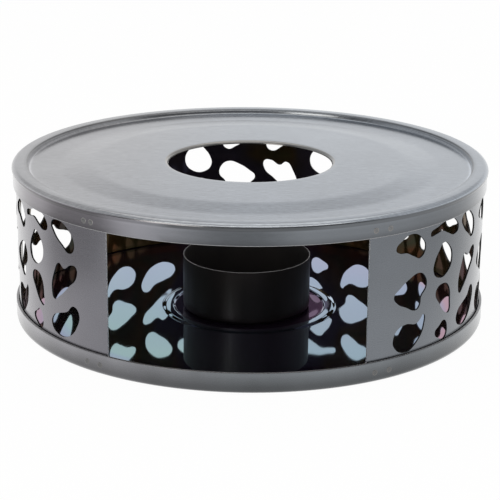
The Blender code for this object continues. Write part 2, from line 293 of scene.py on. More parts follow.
# A weld mark from its middle to its rim: (share of the radius, colour)
MARK_TONES = (
    (0.0, (0.97, 1.00, 1.03)), (0.60, (0.90, 0.91, 0.93)), (0.74, (1.45, 1.36, 1.30)),
    (0.88, (1.10, 1.09, 1.09)), (1.0, (1.0, 1.02, 1.05)))
MARK_WOBBLE = 0.12 * MARK_RADIUS

# The cup's draw marks: how often they come in x, y and z, per metre, and how strongly they show
DRAW_MARKS = (1400.0, 1400.0, 60.0)
DRAW_BUMP = 0.15

# Sizes worked out from these
deck_skirt_outer = RIM_RADIUS - LEDGE
deck_skirt_inner = deck_skirt_outer - DECK_SHEET
deck_skirt_bottom = HEIGHT - DECK_SKIRT_DEPTH
ledge_top = HEIGHT - BEAD_OUTER_ROUND
plateau_top = HEIGHT - PLATEAU_DEPTH
ring_top = HEIGHT - RING_DEPTH
wall_outer = deck_skirt_inner - WALL_CLEARANCE
wall_inner = wall_outer - WALL_SHEET
base_skirt_inner = wall_outer + BASE_CLEARANCE
base_skirt_outer = base_skirt_inner + BASE_SHEET
ring_inner_radius = CUP_RADIUS + RING_GAP
ring_outer_radius = ring_inner_radius + RING_WIDTH
cup_bottom = BASE_SHEET + SEAT_GAP
cup_top = cup_bottom + CUP_HEIGHT
window_angle = WINDOW_WIDTH / wall_outer
band_angle = math.tau - window_angle

# Centres of the deck's rounds, as (radius, height)
collar_centre = (HOLE_RADIUS + COLLAR_ROUND, plateau_top - COLLAR_ROUND)
foot_centre = (RIM_RADIUS - BEAD_WIDTH, ring_top + BEAD_FOOT_ROUND)
bead_inner_centre = (foot_centre[0] + BEAD_FOOT_ROUND + BEAD_INNER_ROUND, HEIGHT - BEAD_INNER_ROUND)
bead_outer_centre = (RIM_RADIUS - BEAD_OUTER_ROUND, HEIGHT - BEAD_OUTER_ROUND)
deck_edge_centre = (deck_skirt_outer - DECK_EDGE_ROUND, deck_skirt_bottom + DECK_EDGE_ROUND)


# Mesh helpers

def arc(centre, radius, start, end, steps=ARC_STEPS):
    """Points of an arc in the (radius, height) plane, from start to end in degrees."""
    points = []
    for step in range(steps + 1):
        angle = math.radians(start + (end - start) * step / steps)
        points.append((centre[0] + radius * math.cos(angle), centre[1] + radius * math.sin(angle)))
    return points


def azimuth_of(place):
    """A place's azimuth, from -pi to pi."""
    return math.atan2(place.x, -place.y)


def outward(place):
    """The level direction from the axis to a place."""
    return Vector((place.x, place.y, 0.0)).normalized()


def azimuth_matrix(azimuth, radius, height):
    """Local X runs along the band, local Y up and local Z outwards."""
    along = Vector((math.cos(azimuth), math.sin(azimuth), 0.0))
    up = Vector((0.0, 0.0, 1.0))
    out = Vector((math.sin(azimuth), -math.cos(azimuth), 0.0))
    matrix = Matrix((along, up, out)).transposed().to_4x4()
    matrix.translation = out * radius + up * height
    return matrix


def divided(profile, slots):
    """The same profile with no straight run longer than SPAN, and one slot for each run."""
    points = [profile[0]]
    kept = []
    for start, end, slot in zip(profile, profile[1:], slots):
        pieces = max(math.ceil(math.dist(start, end) / SPAN), 1)
        for piece in range(1, pieces + 1):
            share = piece / pieces
            points.append((start[0] + (end[0] - start[0]) * share,
                           start[1] + (end[1] - start[1]) * share))
            kept.append(slot)
    return points, kept


def offset_inwards(profile, sheet):
    """The sheet's other face: each point moved by the sheet's thickness, mitred at corners."""
    moved = []
    for index, point in enumerate(profile):
        before = profile[max(index - 1, 0)]
        after = profile[min(index + 1, len(profile) - 1)]
        normals = []
        for start, end in ((before, point), (point, after)):
            length = math.dist(start, end)
            if length > 0.0:
                normals.append((-(end[1] - start[1]) / length, (end[0] - start[0]) / length))
        first, last = normals[0], normals[-1]
        mitre = 1.0 + first[0] * last[0] + first[1] * last[1]
        moved.append((max(point[0] - sheet * (first[0] + last[0]) / mitre, 0.0),
                      point[1] - sheet * (first[1] + last[1]) / mitre))
    return moved


def new_object(name, mesh, materials):
    obj = bpy.data.objects.new(name, mesh)
    bpy.context.scene.collection.objects.link(obj)
    for mat in materials:
        mesh.materials.append(mat)
    return obj


def ring_of_verts(bm, radius, height, steps):
    """One ring of a turned mesh. On the axis it is a single point, named once for each step."""
    if radius < TINY:
        return [bm.verts.new((0.0, 0.0, height))] * steps
    ring = []
    for step in range(steps):
        angle = math.tau * step / steps
        place = (radius * math.cos(angle), radius * math.sin(angle), height)
        ring.append(bm.verts.new(place))
    return ring


def turned(name, loop, slots, materials, steps, around=()):
    """Turn a closed profile about Z. Its grain map holds each point's place on the flat blank, or
    for the slots in around its place along the rim."""
    bm = bmesh.new()
    grain = bm.loops.layers.uv.new(GRAIN_MAP)
    reach = [loop[0][0]]
    for start, end in zip(loop, loop[1:]):
        reach.append(reach[-1] + math.dist(start, end))
    rings = [ring_of_verts(bm, radius, height, steps) for radius, height in loop]
    for index in range(len(loop)):
        after = (index + 1) % len(loop)
        if loop[index][0] < TINY and loop[after][0] < TINY:
            continue
        far = reach[index] + math.dist(loop[index], loop[after])
        for step in range(steps):
            turn = (step + 1) % steps
            corners = ((rings[index][step], reach[index], step),
                       (rings[after][step], far, step),
                       (rings[after][turn], far, step + 1),
                       (rings[index][turn], reach[index], step + 1))
            verts = []
            places = []
            for vert, run, at in corners:
                if vert not in verts:
                    verts.append(vert)
                    places.append((run, at))
            face = bm.faces.new(verts)
            face.material_index = slots[index]
            face.smooth = True
            for corner, (run, at) in zip(face.loops, places):
                angle = math.tau * at / steps
                if slots[index] in around:
                    corner[grain].uv = (RIM_RADIUS * angle, run)
                else:
                    corner[grain].uv = (run * math.cos(angle), run * math.sin(angle))
    mesh = bpy.data.meshes.new(name)
    bm.to_mesh(mesh)
    bm.free()
    mesh.set_sharp_from_angle(angle=SHARP_ANGLE)
    return new_object(name, mesh, materials)


def sheet_of_revolution(name, profile, slots, inner, inner_slot, edge_slot, materials, steps,
                        around=()):
    """A pressing: the outer profile, the other face of the sheet, and the cut edges between."""
    outer_points, outer_slots = divided(profile, slots)
    inner_points, inner_slots = divided(inner[::-1], [inner_slot] * (len(inner) - 1))
    loop = outer_points + inner_points
    all_slots = outer_slots + [edge_slot] + inner_slots + [edge_slot]
    return turned(name, loop, all_slots, materials, steps, around)


# Node helpers

def add_node(tree, kind, inputs=None, **settings):
    """Add a shader node. An input may be given a value or another node's output."""
    node = tree.nodes.new(kind)
    for key, value in settings.items():
        setattr(node, key, value)
    for key, value in (inputs or {}).items():
        if isinstance(value, bpy.types.NodeSocket):
            tree.links.new(value, node.inputs[key])
        else:
            node.inputs[key].default_value = value
    return node


def new_material(name, metallic, **values):
    mat = bpy.data.materials.new(name)
    mat.use_nodes = True
    shader = mat.node_tree.nodes["Principled BSDF"]
    shader.inputs["Metallic"].default_value = metallic
    for key, value in values.items():
        shader.inputs[key.replace("_", " ").title().replace("Ior", "IOR")].default_value = value
    return mat, mat.node_tree, shader


def ramp(tree, factor, stops):
    """A colour ramp over factor; stops is a list of (place, (r, g, b))."""
    node = add_node(tree, "ShaderNodeValToRGB", {"Fac": factor})
    elements = node.color_ramp.elements
    while len(elements) < len(stops):
        elements.new(0.5)
    for element, (place, color) in zip(elements, stops):
        element.position = place
        element.color = (*color, 1.0)
    return node.outputs["Color"]


def at_level(stops, level):
    """The same stops with their colours times a level."""
    return [(place, tuple(part * level for part in color)) for place, color in stops]


def remap(tree, value, low, high, to_low, to_high, smooth=False):
    kind = "SMOOTHSTEP" if smooth else "LINEAR"
    return add_node(tree, "ShaderNodeMapRange", {
        "Value": value, "From Min": low, "From Max": high, "To Min": to_low, "To Max": to_high,
    }, interpolation_type=kind).outputs["Result"]


def spread(tree, pattern, low, high):
    """Stretch a noise so that most of it runs from low to high."""
    return remap(tree, pattern, NOISE_LOW, NOISE_HIGH, low, high)


def math_node(tree, operation, first, second):
    return add_node(tree, "ShaderNodeMath", {0: first, 1: second}, operation=operation).outputs[0]


def mix(tree, kind, factor, first, second):
    return add_node(tree, "ShaderNodeMix", {"Factor": factor, "A": first, "B": second},
                    data_type=kind).outputs["Result"]


def object_place(tree):
    return add_node(tree, "ShaderNodeTexCoord").outputs["Object"]


def axes_of(tree, vector):
    return add_node(tree, "ShaderNodeSeparateXYZ", {"Vector": vector}).outputs


def level_place(tree, axes):
    """The place in X and Y alone."""
    return add_node(tree, "ShaderNodeCombineXYZ", {"X": axes["X"], "Y": axes["Y"]}).outputs["Vector"]


def length_of(tree, vector):
    return add_node(tree, "ShaderNodeVectorMath", {0: vector}, operation="LENGTH").outputs["Value"]


def times(tree, color, factor):
    return add_node(tree, "ShaderNodeVectorMath", {0: color, "Scale": factor},
                    operation="SCALE").outputs["Vector"]


def noise(tree, vector, scale, detail=2.0, roughness=0.5, distortion=0.0):
    return add_node(tree, "ShaderNodeTexNoise", {
        "Vector": vector, "Scale": scale, "Detail": detail, "Roughness": roughness,
        "Distortion": distortion,
    }).outputs["Fac"]


def scaled(tree, vector, scale):
    return add_node(tree, "ShaderNodeMapping", {"Vector": vector, "Scale": scale}).outputs["Vector"]


def place_factor(tree, value, shades):
    """A smooth factor over one coordinate; shades is a list of (coordinate, factor)."""
    low, high = shades[0][0], shades[-1][0]
    most = max(factor for place, factor in shades)
    stops = [((place - low) / (high - low), (factor / most,) * 3) for place, factor in shades]
    share = ramp(tree, remap(tree, value, low, high, 0.0, 1.0), stops)
    return math_node(tree, "MULTIPLY", share, most)


def set_color(tree, shader, color):
    tree.links.new(color, shader.inputs["Base Color"])


def set_roughness(tree, shader, pattern, low, high):
    tree.links.new(spread(tree, pattern, low, high), shader.inputs["Roughness"])


def set_bump(tree, shader, height, strength):
    bump = add_node(tree, "ShaderNodeBump", {"Height": height, "Strength": strength,
                                             "Distance": BUMP_DISTANCE})
    tree.links.new(bump.outputs["Normal"], shader.inputs["Normal"])


# Materials

def brushed_steel(name, color, left_painted_light, roughness, streaks, clouds, coat, shades=(), least=(),
                  corner=()):
    """Straight brushing along the grain map's first axis, with faint clouds of handling, painted
    light by side, and painted shade and highlight by height, x and radius where given.
    """
    mat, tree, shader = new_material(name, 1.0, coat_weight=coat, coat_roughness=COAT_ROUGHNESS)
    place = object_place(tree)
    axes = axes_of(tree, place)
    grain = add_node(tree, "ShaderNodeUVMap", uv_map=GRAIN_MAP).outputs["UV"]
    fine = noise(tree, scaled(tree, grain, FINE_GRAIN), scale=1.0, detail=3.0, roughness=0.6)
    broad = noise(tree, scaled(tree, grain, BROAD_GRAIN), scale=1.0)
    brushing = math_node(tree, "ADD", math_node(tree, "MULTIPLY", fine, FINE_SHARE),
                         math_node(tree, "MULTIPLY", broad, 1.0 - FINE_SHARE))
    handling = noise(tree, place, CLOUD_SCALE, detail=3.0, roughness=0.55)
    tone = math_node(tree, "ADD", spread(tree, brushing, -streaks, streaks),
                     spread(tree, handling, -clouds, clouds))
    dark = tuple(part * (1.0 - TONE_RANGE) for part in color)
    light = tuple(min(part * (1.0 + TONE_RANGE), 1.0) for part in color)
    mixed = ramp(tree, remap(tree, tone, -TONE_RANGE, TONE_RANGE, 0.0, 1.0),
                 ((0.0, dark), (1.0, light)))
    # Painted light by side: the colour scaled towards the left's factors and the right's blue.
    side = remap(tree, axes["X"], *PAINTED_LIGHT_REACH, 0.0, 1.0, smooth=True)
    cast = mix(tree, "VECTOR", side, left_painted_light, RIGHT_PAINTED_LIGHT)
    result = add_node(tree, "ShaderNodeVectorMath", {0: mixed, 1: cast},
                      operation="MULTIPLY").outputs["Vector"]
    # Painted shade and highlight: by height, at least the given factor by x, and by radius.
    if shades:
        factor = place_factor(tree, axes["Z"], shades)
        if least:
            factor = math_node(tree, "MAXIMUM", factor, place_factor(tree, axes["X"], least))
        result = times(tree, result, factor)
    if corner:
        radius = length_of(tree, level_place(tree, axes))
        result = times(tree, result, place_factor(tree, radius, corner))
    set_color(tree, shader, result)
    set_roughness(tree, shader, brushing, roughness - ROUGHNESS_RANGE, roughness + ROUGHNESS_RANGE)
    set_bump(tree, shader, brushing, BRUSH_BUMP)
    return mat


def mirror_floor():
    """Polished steel under a thin film: teal, blue and lavender, turning pink near the edge and
    violet inside the ring."""
    mat, tree, shader = new_material("polished_floor", 1.0, sheen_weight=0.04, sheen_roughness=0.4,
                                     sheen_tint=(0.75, 0.45, 1.0, 1.0))
    place = object_place(tree)
    axes = axes_of(tree, place)
    radius = length_of(tree, place)
    across = math_node(tree, "ADD",
                       remap(tree, axes["Y"], -FILM_REACH, FILM_REACH, *FILM_BACKWARDS),
                       remap(tree, axes["X"], -FILM_REACH, FILM_REACH, *FILM_SIDEWAYS))
    edge = remap(tree, radius, *FILM_EDGE, 0.0, FILM_EDGE_RISE, smooth=True)
    drift = spread(tree, noise(tree, place, scale=22.0, detail=1.0), -FILM_DRIFT, FILM_DRIFT)
    film = math_node(tree, "ADD", math_node(tree, "ADD", across, edge), drift)
    inside = remap(tree, radius, ring_inner_radius, ring_inner_radius + RING_INNER_FLANK, 1.0, 0.0)
    centre = ramp(tree, remap(tree, axes["X"], -ring_inner_radius, ring_inner_radius, 0.0, 1.0),
                  RING_FILM)
    ringed = mix(tree, "RGBA", inside, ramp(tree, film, FLOOR_FILM), centre)
    rim = remap(tree, radius, *FILM_RIM, 1.0, FILM_RIM_LEVEL, smooth=True)
    set_color(tree, shader, times(tree, ringed, rim))
    set_roughness(tree, shader, noise(tree, place, scale=60.0, detail=3.0), 0.015, 0.035)
    return mat


def dark_film(name, roughness, level, lean):
    """The hidden faces: a dark violet mirror with brown and olive patches towards the sides."""
    mat, tree, shader = new_material(name, 0.6, specular_ior_level=0.15)
    place = object_place(tree)
    axes = axes_of(tree, place)
    aside = add_node(tree, "ShaderNodeMath", {0: axes["X"]}, operation="ABSOLUTE").outputs[0]
    patches = math_node(tree, "ADD",
                        noise(tree, place, scale=45.0, detail=1.0, distortion=0.6),
                        remap(tree, aside, *DARK_FILM_REACH, DARK_FILM_MIDDLE, lean, smooth=True))
    set_color(tree, shader, ramp(tree, patches, at_level(DARK_FILM, level)))
    set_roughness(tree, shader, noise(tree, place, scale=80.0), roughness * 0.7, roughness * 1.3)
    return mat


def cut_edge(name, low, high):
    """A sheared edge of the sheet between two levels: bare steel on the deck, tray and cup; on the
    band painted shade at the punched edges and a painted highlight at the window's.
    """
    mat, tree, shader = new_material(name, 1.0)
    shear = noise(tree, object_place(tree), scale=2500.0)
    stops = ((NOISE_LOW, (low, low, low * 1.02)), (NOISE_HIGH, (high, high, high * 1.02)))
    set_color(tree, shader, ramp(tree, shear, stops))
    set_roughness(tree, shader, shear, 0.35, 0.55)
    return mat


def satin_black(name, level, specular):
    """The cup's finish: satin black over drawn sheet, with faint upright draw marks."""
    mat, tree, shader = new_material(name, 0.0, specular_ior_level=specular,
                                     specular_tint=(1.0, 0.80, 0.82, 1.0))
    place = object_place(tree)
    marks = noise(tree, scaled(tree, place, DRAW_MARKS), scale=1.0, detail=3.0)
    clouds = noise(tree, place, scale=90.0, detail=3.0)
    dark = (level * 0.85, level * 0.85, level * 0.88)
    light = (level * 1.15, level * 1.12, level * 1.10)
    set_color(tree, shader, ramp(tree, clouds, ((NOISE_LOW, dark), (NOISE_HIGH, light))))
    set_roughness(tree, shader, marks, 0.34, 0.44)
    set_bump(tree, shader, marks, DRAW_BUMP)
    return mat


def weld_mark(name, level):
    """A pressed spot at its skirt's steel level, painted shade included, inside a thin, broken and
    warmer rim.
    """
    mat, tree, shader = new_material(name, 1.0, coat_weight=1.0, coat_roughness=COAT_ROUGHNESS)
    place = object_place(tree)
    radius = length_of(tree, level_place(tree, axes_of(tree, place)))
    spots = noise(tree, place, scale=1800.0)
    wobbly = math_node(tree, "ADD", radius, spread(tree, spots, -MARK_WOBBLE, MARK_WOBBLE))
    share = remap(tree, wobbly, 0.0, MARK_RADIUS, 0.0, 1.0)
    set_color(tree, shader, ramp(tree, share, at_level(MARK_TONES, level)))
    set_roughness(tree, shader, spots, 0.2, 0.4)
    return mat


# Deck

DECK_TOP, DECK_UNDER, DECK_EDGE, DECK_SKIRT, DECK_COLLAR = range(5)


def deck_materials():
    """The deck's finishes, in the order of its slots."""
    return [
        # The top: painted shade and a painted highlight line in the rim's inner corner.
        brushed_steel("deck_brushed_painted_corner_shade", (0.403, 0.412, 0.424), TOP_LEFT_PAINTED_LIGHT, roughness=0.20,
                      streaks=0.30, clouds=0.06, coat=0.0, corner=CORNER_PAINTED_SHADE),
        dark_film("deck_underside", roughness=0.35, level=0.120, lean=0.02),
        cut_edge("deck_edge", low=0.35, high=0.5),
        # The skirt is the same sheet as the top, given much darker steel as painted shade, with
        # painted shade and highlight by height.
        brushed_steel("deck_skirt_brushed_painted_shade", (0.165, 0.17, 0.175), SKIRT_LEFT_PAINTED_LIGHT, roughness=0.20,
                      streaks=0.06, clouds=0.05, coat=1.0, shades=DECK_SKIRT_PAINTED_SHADE,
                      least=DECK_SKIRT_PAINTED_HIGHLIGHT),
        # The collar: painted shade down its round.
        brushed_steel("collar_brushed_painted_shade", (0.440, 0.418, 0.388), COLLAR_LEFT_PAINTED_LIGHT, roughness=0.16,
                      streaks=0.06, clouds=0.10, coat=0.0, shades=COLLAR_PAINTED_SHADE),
    ]


def deck_profile():
    """The deck's outer face, from the collar in the centre hole to the skirt's lower edge."""
    return [
        *arc(collar_centre, COLLAR_ROUND, 180.0, 90.0),
        (PLATEAU_RADIUS, plateau_top),
        (PLATEAU_RADIUS + SLOPE_WIDTH, ring_top),
        *arc(foot_centre, BEAD_FOOT_ROUND, -90.0, -30.0, 4),
        *arc(bead_inner_centre, BEAD_INNER_ROUND, 180.0, 90.0),
        *arc(bead_outer_centre, BEAD_OUTER_ROUND, 90.0, SKIRT_FINISH_START),
        *arc(bead_outer_centre, BEAD_OUTER_ROUND, SKIRT_FINISH_START, 0.0, 2)[1:],
        (deck_skirt_outer, ledge_top - LEDGE_DROP),
        (deck_skirt_outer, ledge_top - LEDGE_DROP - SUPPORT),
        (deck_skirt_outer, deck_edge_centre[1] + SUPPORT),
        *arc(deck_edge_centre, DECK_EDGE_ROUND, 0.0, -90.0, 3),
    ]


def deck_slots(profile):
    """One slot for each run of the profile. The skirt's finish starts low on the bead."""
    finish_rise = BEAD_OUTER_ROUND * math.sin(math.radians(SKIRT_FINISH_START))
    finish_height = bead_outer_centre[1] + finish_rise
    slots = []
    for start, end in zip(profile, profile[1:]):
        if start[0] < collar_centre[0]:
            slots.append(DECK_COLLAR)
        elif end[1] < deck_edge_centre[1]:
            slots.append(DECK_EDGE)
        elif start[0] > bead_outer_centre[0] and end[1] < finish_height:
            slots.append(DECK_SKIRT)
        else:
            slots.append(DECK_TOP)
    return slots


def build_deck():
    profile = deck_profile()
    inner = offset_inwards(profile, DECK_SHEET)
    deck = sheet_of_revolution("deck_pressing", profile, deck_slots(profile), inner, DECK_UNDER,
                               DECK_EDGE, deck_materials(), TURN_STEPS, (DECK_SKIRT, DECK_COLLAR))
    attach(deck, "warmer")
    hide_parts("deck_plate")


# Tray

TRAY_SKIRT, TRAY_FLOOR, TRAY_EDGE = range(3)


def tray_materials():
    """The tray's finishes, in the order of its slots."""
    return [
        # The skirt: darker steel than the deck's top as painted shade, painted lighter on the left,
        # and painted contact shade towards the floor.
        brushed_steel("tray_brushed_painted_shade", (0.120, 0.124, 0.125), TRAY_LEFT_PAINTED_LIGHT, roughness=0.26,
                      streaks=0.06, clouds=0.24, coat=1.0, shades=TRAY_PAINTED_SHADE),
        mirror_floor(),
        cut_edge("tray_edge", low=0.35, high=0.5),
    ]


def locating_ring():
    """The pressed ring's section, from its outer foot over its top to its inner foot."""
    rising = []
    falling = []
    for step in range(FLANK_STEPS + 1):
        share = step / FLANK_STEPS
        height = RING_HEIGHT * 0.5 * (1.0 - math.cos(math.pi * share))
        rising.append((ring_outer_radius - RING_OUTER_FLANK * share, height))
        falling.append((ring_inner_radius + RING_INNER_FLANK * share, height))
    return rising + falling[::-1]


def tray_profile():
    """The tray's outer face, from the skirt's upper edge to the middle of the floor."""
    round_centre = (base_skirt_outer - BASE_ROUND, BASE_ROUND)
    edge_centre = (base_skirt_outer - EDGE_ROUND, BASE_SKIRT_HEIGHT - EDGE_ROUND)
    return [
        *arc(edge_centre, EDGE_ROUND, 90.0, 0.0, 3),
        (base_skirt_outer, edge_centre[1] - SUPPORT),
        (base_skirt_outer, BASE_ROUND + SUPPORT),
        *arc(round_centre, BASE_ROUND, 0.0, -90.0),
        *locating_ring(),
        (0.0, 0.0),
    ]


def floor_warp(x, y):
    """The pressed floor isn't quite flat: it rises and twists a little towards the window."""
    rise = FLOOR_TILT * max(FLOOR_TILT_START - y, 0.0)
    lip = FLOOR_LIP / 2.0 * max(FLOOR_LIP_START - y, 0.0) ** 2
    return rise + lip - FLOOR_TWIST * x * (FLOOR_TWIST_LINE - y)


def warp_floor(mesh):
    """Move the tray's inner face by the warp, less and less up its skirt."""
    inside = set()
    for face in mesh.polygons:
        if face.material_index == TRAY_FLOOR:
            inside.update(face.vertices)
    for index in inside:
        place = mesh.vertices[index].co
        place.z += floor_warp(place.x, place.y) * max(1.0 - place.z / BASE_SKIRT_HEIGHT, 0.0)


def build_tray():
    profile = tray_profile()
    rim_inside = base_skirt_inner - RIM_INSET
    low = [point for point in offset_inwards(profile, BASE_SHEET) if point[1] < BASE_ROUND]
    inner = [(rim_inside, BASE_SKIRT_HEIGHT), (rim_inside, BASE_ROUND), *low]
    tray = sheet_of_revolution("tray_pressing", profile, [TRAY_SKIRT] * (len(profile) - 1), inner,
                               TRAY_FLOOR, TRAY_EDGE, tray_materials(), TURN_STEPS, (TRAY_SKIRT,))
    warp_floor(tray.data)
    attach(tray, "warmer")
    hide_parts("base_tray")


# Cup

CUP_OUTSIDE, CUP_EDGE, CUP_INSIDE = range(3)


def build_cup():
    profile = [
        (CUP_RADIUS, cup_top),
        *arc((CUP_RADIUS - CUP_ROUND, cup_bottom + CUP_ROUND), CUP_ROUND, 0.0, -90.0),
        (0.0, cup_bottom),
    ]
    inner = offset_inwards(profile, CUP_SHEET)
    inner[:1] = [(CUP_RADIUS - CUP_RIM, cup_top), (CUP_RADIUS - CUP_SHEET, cup_top - CUP_RIM_DEPTH)]
    # The inside is the same black paint at over three times the outside's level and glossier: painted
    # light inside the shaded cup.
    materials = [satin_black("satin_black", level=0.0075, specular=0.30),
                 cut_edge("cup_edge", low=0.45, high=0.6),
                 satin_black("satin_black_inside_painted_light", level=0.026, specular=0.5)]
    cup = sheet_of_revolution("cup_shell", profile, [CUP_OUTSIDE] * (len(profile) - 1), inner,
                              CUP_INSIDE, CUP_EDGE, materials, CUP_STEPS)
    cup.location = (*CUP_PLACE, 0.0)
    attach(cup, "cup")
    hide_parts("tealight_cup")


# Band

BAND_OUTSIDE, BAND_INSIDE, BAND_EDGE, BAND_WINDOW_EDGE = range(4)


def band_materials():
    """The band's finishes, in the order of its slots."""
    return [
        # The outside: darker steel than the deck's top as painted shade, painted lighter on the left.
        brushed_steel("band_brushed_painted_shade", (0.150, 0.155, 0.162), BAND_LEFT_PAINTED_LIGHT, roughness=0.26,
                      streaks=0.04, clouds=0.08, coat=1.0),
        dark_film("band_inside", roughness=0.05, level=0.100, lean=0.32),
        # The punched edges are painted near black as painted shade, the window's edges near white as
        # a painted highlight, though both are the same sheared steel.
        cut_edge("band_punched_edge_painted_shade", low=0.03, high=0.06),
        cut_edge("band_window_edge_painted_highlight", low=0.7, high=0.95),
    ]


def corner_height(centre, radius, at_radius):
    """How high above its centre a pressing's round stands at a radius."""
    overhang = max(at_radius - centre, 0.0)
    return math.sqrt(max(radius ** 2 - overhang ** 2, 0.0))


def wall_heights():
    """The band's upper and lower edge, seated in the rounds of the deck and the tray."""
    bead_centre = RIM_RADIUS - BEAD_OUTER_ROUND
    bead_room = corner_height(bead_centre, BEAD_OUTER_ROUND - DECK_SHEET, wall_outer)
    base_centre = base_skirt_outer - BASE_ROUND
    base_room = corner_height(base_centre, BASE_ROUND - BASE_SHEET, wall_outer)
    return HEIGHT - BEAD_OUTER_ROUND + bead_room - BAND_SEAT, BASE_ROUND - base_room + BAND_SEAT


def outline_mesh(name, outline, depth):
    """A closed prism over a smooth closed outline, lying in local X and Y."""
    curve = bpy.data.curves.new(name, "CURVE")
    curve.dimensions = "2D"
    curve.fill_mode = "BOTH"
    curve.extrude = depth / 2
    curve.resolution_u = OUTLINE_RESOLUTION
    spline = curve.splines.new("BEZIER")
    spline.bezier_points.add(len(outline) - 1)
    spline.use_cyclic_u = True
    for point, (along, up) in zip(spline.bezier_points, outline):
        point.co = (along, up, 0.0)
        point.handle_left_type = "AUTO"
        point.handle_right_type = "AUTO"
    holder = bpy.data.objects.new(name, curve)
    bpy.context.scene.collection.objects.link(holder)
    evaluated = holder.evaluated_get(bpy.context.evaluated_depsgraph_get())
    mesh = bpy.data.meshes.new_from_object(evaluated)
    bpy.data.objects.remove(holder)
    bpy.data.curves.remove(curve)
    return mesh


def repeat_starts():
    """Distances along the band from the window's centre to the start of each repeat."""
    first = WINDOW_WIDTH / 2 + PANEL_AFTER_WINDOW
    last = band_angle * wall_outer + WINDOW_WIDTH / 2 - PANEL_BEFORE_WINDOW - REPEAT_WIDTH
    gaps = max(round((last - first) / REPEAT_PITCH), 1)
    starts = []
    for index in range(gaps + 1):
        share = index / gaps
        starts.append(first + (last - first) * share + REPEAT_CREEP * math.sin(math.pi * share))
    return starts


def pebble_cutter():
    """All the pebbles as radial prisms, in one mesh."""
    bm = bmesh.new()
    low = BASE_SKIRT_HEIGHT + BASE_MARGIN
    stretch = (deck_skirt_bottom - DECK_MARGIN - low) / (PATTERN_HIGH - PATTERN_LOW)
    for number, pebble in enumerate(PEBBLES):
        centre_along = sum(along for along, up in pebble) / len(pebble) * MM
        outline = []
        for along, up in pebble:
            outline.append((along * MM - centre_along, low + (up * MM - PATTERN_LOW) * stretch))
        mesh = outline_mesh(f"pebble_{number}", outline, PUNCH_DEPTH)
        for start in repeat_starts():
            placed = mesh.copy()
            placed.transform(azimuth_matrix((start + centre_along) / wall_outer, wall_outer, 0.0))
            bm.from_mesh(placed)
            bpy.data.meshes.remove(placed)
        bpy.data.meshes.remove(mesh)
    bmesh.ops.remove_doubles(bm, verts=bm.verts, dist=TINY)
    bmesh.ops.recalc_face_normals(bm, faces=bm.faces)
    mesh = bpy.data.meshes.new("pebble_cutter")
    bm.to_mesh(mesh)
    bm.free()
    return new_object("pebble_cutter", mesh, [])


def plain_band():
    """The band before punching, one closed strip round the window's two edges."""
    top, bottom = wall_heights()
    steps = round(TURN_STEPS * band_angle / math.tau)
    bm = bmesh.new()
    corners = ((wall_outer, bottom), (wall_outer, top), (wall_inner, top), (wall_inner, bottom))
    rings = []
    for step in range(steps + 1):
        azimuth = window_angle / 2 + band_angle * step / steps
        ring = []
        for radius, height in corners:
            place = (radius * math.sin(azimuth), -radius * math.cos(azimuth), height)
            ring.append(bm.verts.new(place))
        rings.append(ring)
    for ring, following in zip(rings, rings[1:]):
        for index in range(len(corners)):
            after = (index + 1) % len(corners)
            bm.faces.new((ring[index], following[index], following[after], ring[after]))
    bm.faces.new(rings[0])
    bm.faces.new(rings[-1][::-1])
    bmesh.ops.recalc_face_normals(bm, faces=bm.faces)
    mesh = bpy.data.meshes.new("plain_band")
    bm.to_mesh(mesh)
    bm.free()
    return new_object("plain_band", mesh, [])


def finish_band(mesh):
    """Slots, round normals and the strip's grain map for the punched band."""
    grain = mesh.uv_layers.new(name=GRAIN_MAP)
    normals = [None] * len(mesh.loops)
    for face in mesh.polygons:
        facing = face.normal.dot(outward(face.center))
        curved = abs(facing) > CURVED_FACING
        off_window = abs(azimuth_of(face.center)) - window_angle / 2
        face.use_smooth = True
        if curved:
            face.material_index = BAND_OUTSIDE if facing > 0.0 else BAND_INSIDE
        elif abs(off_window) * wall_outer < WINDOW_EDGE_REACH:
            face.material_index = BAND_WINDOW_EDGE
        else:
            face.material_index = BAND_EDGE
        for index in face.loop_indices:
            place = mesh.vertices[mesh.loops[index].vertex_index].co
            round_normal = outward(place) * math.copysign(1.0, facing)
            normals[index] = round_normal if curved else face.normal.copy()
            grain.data[index].uv = (azimuth_of(place) % math.tau * wall_outer, place.z)
    mesh.normals_split_custom_set(normals)


def build_band():
    band = plain_band()
    cutter = pebble_cutter()
    cut = band.modifiers.new("Perforation", "BOOLEAN")
    cut.operation = "DIFFERENCE"
    cut.solver = "EXACT"
    cut.object = cutter
    evaluated = band.evaluated_get(bpy.context.evaluated_depsgraph_get())
    mesh = bpy.data.meshes.new_from_object(evaluated)
    for spent in (band, cutter):
        bpy.data.meshes.remove(spent.data)
    mesh.name = "punched_band"
    finish_band(mesh)
    punched = new_object("punched_band", mesh, band_materials())
    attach(punched, "warmer")
    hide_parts("side_wall")


# Weld marks

def weld_azimuths(right, left):
    """Two welds to the right of the window, two at the back and two to the left."""
    half_pair = BACK_PAIR_SPACING / 2 / wall_outer
    azimuths = [(WINDOW_WIDTH / 2 + distance) / wall_outer for distance in right]
    azimuths.extend((math.pi - half_pair, math.pi + half_pair))
    azimuths.extend(-(WINDOW_WIDTH / 2 + distance) / wall_outer for distance in left)
    return azimuths


